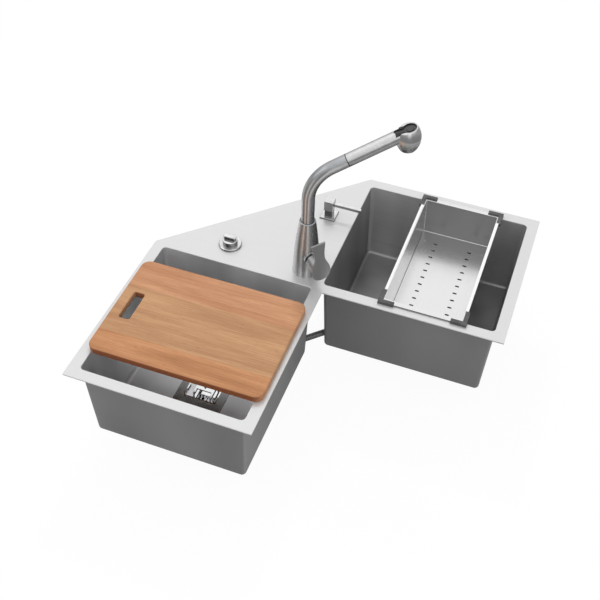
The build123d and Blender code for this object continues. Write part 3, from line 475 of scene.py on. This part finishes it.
# tap: its long stripes are painted reflections of the room, as a polished body would mirror it, from left to
# right
tapSteel = dict(
    steelBase,
    light=(0.485, 0.503, 0.52, 1.0),
    dark=(0.335, 0.345, 0.355, 1.0),
    grainScale=(500.0, 500.0, 12.0),
    rough=(0.22, 0.30),
    bump=0.2,
    smear=30.0,
    smearScale=(1.0, 1.0, 0.15),
    metal=0.4,
    streakAxis=(0.944, 0.329, 0.0),
    streakWander=(-0.03, 0.03),
    streakFade=(0.12, 0.26),
    streakGrain=0.35,
    streakBand=(0.3, 0.7),
    paintedReflections=(
        (0.03, 0.70), (0.11, 0.42), (0.17, 0.16), (0.24, 0.34), (0.31, 0.80), (0.37, 0.30), (0.44, 0.24),
        (0.53, 0.85), (0.61, 0.50), (0.70, 0.24), (0.82, 0.12), (0.95, 0.05),
    ),
    # painted shade on faces turned down
    rise=((0.0, 0.45), (0.35, 0.75), (0.5, 1.0), (1.0, 1.0)),
    markAndShadeTone=0.02,
)
# the spout keeps the tap's painted reflection stripes and painted shade
spoutSteel = dict(tapSteel, grainScale=(24.0, 24.0, 24.0), smear=12.0, smearDepth=0.08, bump=0.02)
leverSteel = dict(
    steelBase,
    light=grey(0.46),
    dark=grey(0.39),
    grainScale=(500.0, 500.0, 12.0),
    rough=(0.26, 0.36),
    bump=0.1,
    smear=30.0,
    metal=0.85,
)
# the bar and the screw keep the tap's painted reflection stripes and painted shade
barSteel = dict(tapSteel, light=grey(0.22), dark=grey(0.15))
screwSteel = dict(barSteel, rough=(0.4, 0.5))

# the groove between the mixing hub and its lever lies in the dark, so it gets painted shade
hubSeam = {"level": 0.0645, "direction": (0.707107, -0.707107, 0.0), "start": 0.0317, "halfHeight": 0.0186}


def hubGrooveShade(tree):
    tap = middleOf("tap_ring")
    point = (tap.x, tap.y, hubSeam["level"])
    past = calc(tree, "GREATER_THAN", along(tree, point, hubSeam["direction"]), hubSeam["start"])
    height = along(tree, point, (0, 0, 1))
    return calc(tree, "MULTIPLY", past, between(tree, height, -hubSeam["halfHeight"], hubSeam["halfHeight"]))


dress(brushedSteel("barSteel", barSteel), "tie_bar")
dress(brushedSteel("tapSteel", tapSteel, hubGrooveShade), "tap_body")
dress(brushedSteel("footSteel", tapSteel), "tap_ring", "tap_foot", "lever_stem", "cartridge_rotor")
dress(brushedSteel("spoutSteel", spoutSteel), "spout_tube")
dress(brushedSteel("leverSteel", leverSteel), "lever_barrel", "lever_paddle")
dress(brushedSteel("blackenedSteel", screwSteel), "lever_screw")

# spray: a dark eye with a slot on its crown, and a dark seam where its handle meets the spout
spraySteel = dict(
    steelBase,
    light=grey(0.62),
    dark=grey(0.50),
    grainScale=(90.0, 90.0, 90.0),
    rough=(0.20, 0.28),
    bump=0.15,
    smear=30.0,
    metal=0.7,
    # painted highlights on faces tilted up and on a band just above level, and painted shade on faces turned
    # down
    rise=(
        (0.0, 0.15), (0.30, 0.3), (0.38, 0.6), (0.46, 1.0), (0.52, 1.2), (0.56, 0.7), (0.64, 0.8),
        (0.72, 1.2), (1.0, 1.25),
    ),
    markAndShadeTone=0.045,
)
sprayMarks = {
    "yaw": 26.5,
    "handlePitch": 28.0,
    "crownPitch": 17.0,
    "crown": (0.135404, 0.154428, 0.412245),
    "eyeRadius": 0.0162,
    "slotHalf": 0.0125,
    "slotEnd": 0.034,
    "depth": 0.012,
    "rise": 0.01,
    "seam": (0.017371, 0.095578, 0.332664),
    "seamWidth": 0.002,
}


def heading(yaw, pitch):
    yaw, pitch = math.radians(yaw), math.radians(pitch)
    return (math.cos(pitch) * math.cos(yaw), math.cos(pitch) * math.sin(yaw), math.sin(pitch))


def eyeOfSpray(tree):
    crown, yaw, pitch = (sprayMarks[key] for key in ("crown", "yaw", "crownPitch"))
    ahead = along(tree, crown, heading(yaw, pitch))
    across = along(tree, crown, heading(yaw + 90, 0))
    up = along(tree, crown, heading(yaw, pitch + 90))
    squares = calc(tree, "ADD", calc(tree, "MULTIPLY", ahead, ahead), calc(tree, "MULTIPLY", across, across))
    eye = calc(tree, "LESS_THAN", squares, sprayMarks["eyeRadius"] ** 2)
    wide = calc(tree, "LESS_THAN", calc(tree, "ABSOLUTE", across), sprayMarks["slotHalf"])
    slot = calc(tree, "MULTIPLY", wide, between(tree, ahead, -sprayMarks["slotEnd"], 0.0))
    deep = between(tree, up, -sprayMarks["depth"], sprayMarks["rise"])
    shape = calc(tree, "MULTIPLY", calc(tree, "MAXIMUM", eye, slot), deep)
    handle = along(tree, sprayMarks["seam"], heading(yaw, sprayMarks["handlePitch"]))
    return calc(tree, "MAXIMUM", shape, calc(tree, "LESS_THAN", handle, sprayMarks["seamWidth"]))


dress(brushedSteel("spraySteel", spraySteel, eyeOfSpray), "spray_shell")
print("colander and tap dressed")

# chrome of the knob, the dispenser and the baskets, then the drains' steel and the brass
chromeLook = dict(
    steelBase,
    light=(0.80, 0.80, 0.81, 1.0),
    dark=(0.66, 0.66, 0.67, 1.0),
    grainScale=(40.0, 40.0, 40.0),
    rough=(0.05, 0.10),
    bump=0.02,
    smear=25.0,
)
# painted shade: the dispenser's and the knob's faces turned to the front and the sides are darkened, so
# their tops stay light
headChrome = dict(
    chromeLook,
    light=grey(0.96),
    rough=(0.12, 0.2),
    metal=0.8,
    paintedFacingShades=(((0, -1, 0), 0.30), ((1, 0, 0), 0.5), ((-1, 0, 0), 0.5)),
)
baseChrome = dict(headChrome, paintedFacingShades=(((0, -1, 0), 0.10), ((1, 0, 0), 0.06), ((-1, 0, 0), 0.25)))
knobChrome = dict(
    headChrome,
    rough=(0.05, 0.10),
    paintedFacingShades=(((0, -1, 0), 0.04), ((1, 0, 0), 0.05), ((-1, 0, 0), 0.5)),
)
drainSteel = dict(chromeLook, light=grey(0.30), dark=grey(0.22), rough=(0.20, 0.32))
# the brass keeps the tap's painted reflection stripes and painted shade on faces turned down
brassLook = dict(
    tapSteel,
    light=(0.66, 0.50, 0.26, 1.0),
    dark=(0.50, 0.36, 0.17, 1.0),
    grainScale=(90.0, 90.0, 900.0),
)
dress(
    brushedSteel("chrome", chromeLook),
    "knob_spindle", "left_basket_handle", "right_basket_handle", "left_basket", "right_basket",
)
dress(brushedSteel("headChrome", headChrome), "dispenser_head", "dispenser_spout")
dress(brushedSteel("baseChrome", baseChrome), "dispenser_base", "knob_flange")
dress(brushedSteel("knobChrome", knobChrome), "drain_knob")
dress(
    brushedSteel("drainSteel", drainSteel),
    "left_strainer_body", "right_strainer_body", "left_outlet", "right_outlet",
)
dress(brushedSteel("turnedBrass", brassLook), "tap_shank", "tap_nut", "inlet_block", "cartridge_nut")
print("chrome and brass dressed")

plasticLook = {
    "light": (0.035, 0.035, 0.036, 1.0),
    "dark": (0.018, 0.018, 0.019, 1.0),
    "rough": (0.38, 0.60),
    "speck": 900.0,
    "rub": 60.0,
    "rubBand": (0.3, 0.7),
    "bump": 0.2,
    "bumpHeight": 0.0002,
}


# plastics and rubber: fine moulded texture and a rubbed sheen
def moulded(name, values):
    material, tree, surface = newMaterial(name)
    speck = noise(tree, placed(tree, (1.0, 1.0, 1.0)), values["speck"], roughness=0.6)
    rubbed = noise(tree, placed(tree, (1.0, 1.0, 1.0)), values["rub"], detail=3.0)
    worn = spread(tree, rubbed, 0.0, 1.0, *values["rubBand"])
    shade = blendColour(tree, worn, values["dark"], values["light"])
    tree.links.new(shade, surface.inputs["Base Color"])
    tree.links.new(spread(tree, rubbed, *values["rough"]), surface.inputs["Roughness"])
    addBump(tree, surface, speck, values["bump"], values["bumpHeight"])
    return material


padLook = dict(plasticLook, light=grey(0.10), dark=(0.055, 0.055, 0.056, 1.0))
insertLook = dict(plasticLook, light=(0.06, 0.06, 0.061, 1.0), dark=(0.045, 0.045, 0.046, 1.0))
rubberLook = dict(plasticLook, light=grey(0.03), dark=grey(0.015), rough=(0.7, 0.85))
bottleLook = dict(plasticLook, light=(0.80, 0.81, 0.80, 1.0), dark=(0.70, 0.71, 0.70, 1.0), speck=300.0)
dress(
    moulded("blackPlastic", plasticLook),
    "left_drain_nut", "right_drain_nut", "knob_nut", "knob_bush", "dispenser_nut", "swivel_bush",
    "mixer_cartridge", "spray_spigot", "pump_tube", "pump_stem", "spray_hose",
)
dress(moulded("insertPlastic", insertLook), "spray_insert", "spray_button")
dress(moulded("padPlastic", padLook), "colander_pads")
dress(
    moulded("blackRubber", rubberLook),
    "rim_seal", "left_drain_gasket", "right_drain_gasket", "left_plug_seal", "right_plug_seal",
    "tap_washer", "spray_face",
)
dress(moulded("bottlePlastic", bottleLook), "soap_bottle")
print("plastics and rubber dressed")

boardLook = {
    "turn": 0.5,
    "bandStretch": (2.2, 30.0, 30.0),
    "paleBand": (0.38, 0.62),
    "fibreStretch": (14.0, 420.0, 420.0),
    "fibreBand": (0.35, 0.75),
    "fibre": 0.5,
    "poreStretch": (60.0, 900.0, 900.0),
    "poreBand": (0.62, 0.72),
    "pores": 0.6,
    "edge": (0.60, 0.42, 0.36, 1.0),
    "rough": (0.42, 0.6),
    "gloss": 0.35,
    "bump": 0.25,
    "bumpHeight": 0.0003,
}


# oiled wood: broad bands, long fibres, short dark pores, and painted shade on the board's front face
def oiledWood(name, values):
    material, tree, surface = newMaterial(name)
    turn = (0.0, 0.0, math.radians(-values["turn"]))
    grainwise = placed(tree, (1.0, 1.0, 1.0), turn, values["shift"])
    bandwise, fibrewise, porewise = (
        addNode(tree, "ShaderNodeMapping", {"Vector": grainwise, "Scale": values[key]}).outputs[0]
        for key in ("bandStretch", "fibreStretch", "poreStretch")
    )
    band = noise(tree, bandwise, 1.0, detail=4.0, roughness=0.55, distortion=0.6)
    fibre = noise(tree, fibrewise, 1.0, detail=3.0, roughness=0.6)
    dots = noise(tree, porewise, 1.0)
    banded = spread(tree, band, 0.0, 1.0, *values["paleBand"])
    fibred = spread(tree, fibre, 0.0, values["fibre"], *values["fibreBand"])
    pored = spread(tree, dots, 0.0, values["pores"], *values["poreBand"])
    shade = blendColour(tree, banded, values["dark"], values["light"])
    shade = blendColour(tree, fibred, shade, values["deep"])
    shade = blendColour(tree, pored, shade, values["deep"])
    normal = addNode(tree, "ShaderNodeTexCoord").outputs["Normal"]
    # painted shade on the faces turned to the front
    shade = blendColour(tree, facing(tree, normal, (0, -1, 0)), shade, values["edge"], "MULTIPLY")
    tree.links.new(shade, surface.inputs["Base Color"])
    tree.links.new(spread(tree, fibre, *values["rough"]), surface.inputs["Roughness"])
    surface.inputs["Specular IOR Level"].default_value = values["gloss"]
    addBump(tree, surface, fibre, values["bump"], values["bumpHeight"])
    return material


frontWood = dict(
    boardLook,
    light=(0.60, 0.29, 0.135, 1.0),
    dark=(0.44, 0.20, 0.085, 1.0),
    deep=(0.26, 0.10, 0.04, 1.0),
    shift=(0.3, 0.1, 0.0),
)
middleWood = dict(
    boardLook,
    light=(0.58, 0.33, 0.17, 1.0),
    dark=(0.46, 0.24, 0.12, 1.0),
    deep=(0.27, 0.12, 0.05, 1.0),
    shift=(0.0, 0.0, 0.0),
)
backWood = dict(
    boardLook,
    light=(0.62, 0.32, 0.17, 1.0),
    dark=(0.48, 0.22, 0.11, 1.0),
    deep=(0.26, 0.11, 0.05, 1.0),
    shift=(0.7, 0.4, 0.0),
)
dress(oiledWood("frontWood", frontWood), "board_front_stave")
dress(oiledWood("middleWood", middleWood), "board_middle_stave")
dress(oiledWood("backWood", backWood), "board_back_stave")
print("board dressed")

# the tap's thread below its nut, as rings one above the other, each half sunk in the shank
shankThread = {"length": 0.038, "pitch": 0.0015, "ridge": 0.00045, "ringSides": 64, "ridgeSides": 6}


def threadTree(values):
    tree = bpy.data.node_groups.new("threadRings", "GeometryNodeTree")
    inputs = (
        ("Count", "NodeSocketInt"), ("Foot", "NodeSocketVector"), ("Step", "NodeSocketVector"),
        ("Radius", "NodeSocketFloat"), ("Ridge", "NodeSocketFloat"), ("Material", "NodeSocketMaterial"),
    )
    for label, kind in inputs:
        tree.interface.new_socket(label, in_out="INPUT", socket_type=kind)
    tree.interface.new_socket("Mesh", in_out="OUTPUT", socket_type="NodeSocketGeometry")
    given = addNode(tree, "NodeGroupInput").outputs
    line = {"Count": given["Count"], "Start Location": given["Foot"], "Offset": given["Step"]}
    points = addNode(tree, "GeometryNodeMeshLine", line).outputs["Mesh"]
    circle = {"Resolution": values["ringSides"], "Radius": given["Radius"]}
    ridge = {"Resolution": values["ridgeSides"], "Radius": given["Ridge"]}
    rim = {
        "Curve": addNode(tree, "GeometryNodeCurvePrimitiveCircle", circle).outputs["Curve"],
        "Profile Curve": addNode(tree, "GeometryNodeCurvePrimitiveCircle", ridge).outputs["Curve"],
    }
    ring = addNode(tree, "GeometryNodeCurveToMesh", rim).outputs["Mesh"]
    rings = addNode(tree, "GeometryNodeInstanceOnPoints", {"Points": points, "Instance": ring})
    plain = addNode(tree, "GeometryNodeRealizeInstances", {"Geometry": rings.outputs["Instances"]})
    coated = {"Geometry": plain.outputs["Geometry"], "Material": given["Material"]}
    dressed = addNode(tree, "GeometryNodeSetMaterial", coated)
    addNode(tree, "NodeGroupOutput", {"Mesh": dressed.outputs["Geometry"]})
    return tree


def addThread(name, shank, values, material):
    low, high = boxOf(shank)
    middle = middleOf(shank)
    settings = {
        "Count": int(values["length"] / values["pitch"]),
        "Foot": (middle.x, middle.y, low.z + values["pitch"]),
        "Step": (0.0, 0.0, values["pitch"]),
        "Radius": (high.x - low.x) / 2,
        "Ridge": values["ridge"],
        "Material": material,
    }
    maker = bpy.data.objects.new(name + "Maker", bpy.data.meshes.new(name + "Maker"))
    bpy.context.scene.collection.objects.link(maker)
    modifier = maker.modifiers.new("rings", "NODES")
    modifier.node_group = threadTree(values)
    for item in modifier.node_group.interface.items_tree:
        if item.in_out == "INPUT":
            modifier[item.identifier] = settings[item.name]
    graph = bpy.context.evaluated_depsgraph_get()
    mesh = bpy.data.meshes.new_from_object(maker.evaluated_get(graph))
    bpy.data.objects.remove(maker)
    piece = bpy.data.objects.new(name, mesh)
    bpy.context.scene.collection.objects.link(piece)
    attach(piece, "sink")


addThread("shankThread", "tap_shank", shankThread, brushedSteel("threadBrass", brassLook))
print("thread ready")
